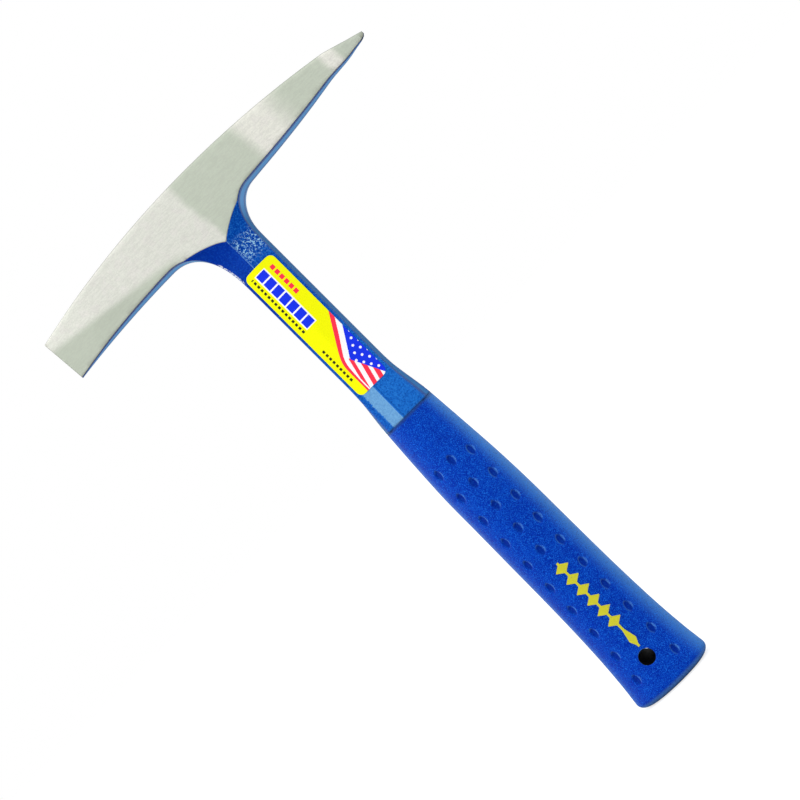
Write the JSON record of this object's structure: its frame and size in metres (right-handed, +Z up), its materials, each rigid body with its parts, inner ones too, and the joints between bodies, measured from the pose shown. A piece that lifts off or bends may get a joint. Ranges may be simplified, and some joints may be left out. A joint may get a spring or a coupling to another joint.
{
  "type": "rock hammer",
  "caption": "One-piece forged chipping hammer with a vertical chisel blade, a square pick point and a moulded, dimpled grip with a hanging hole.",
  "frame": {"origin": "centre of the flat on the crowned butt of the grip", "axes": "+Z up the handle from the butt to the head, -X to the chisel blade, +X to the pick point, -Y to the labelled front"},
  "size_m": [0.1779, 0.0266, 0.2794],
  "materials": {
    "forged_steel": "ground bright cheeks, blue paint on the underside, neck and shank",
    "blue_vinyl": "fine moulded texture",
    "label_film": "printed film",
    "yellow_foil": "hot-stamped foil"
  },
  "bodies": {
    "root": {"steel_forging": "forged_steel", "grip": "blue_vinyl", "label": "label_film", "foil_mark": "yellow_foil"}
  },
  "joints": []
}
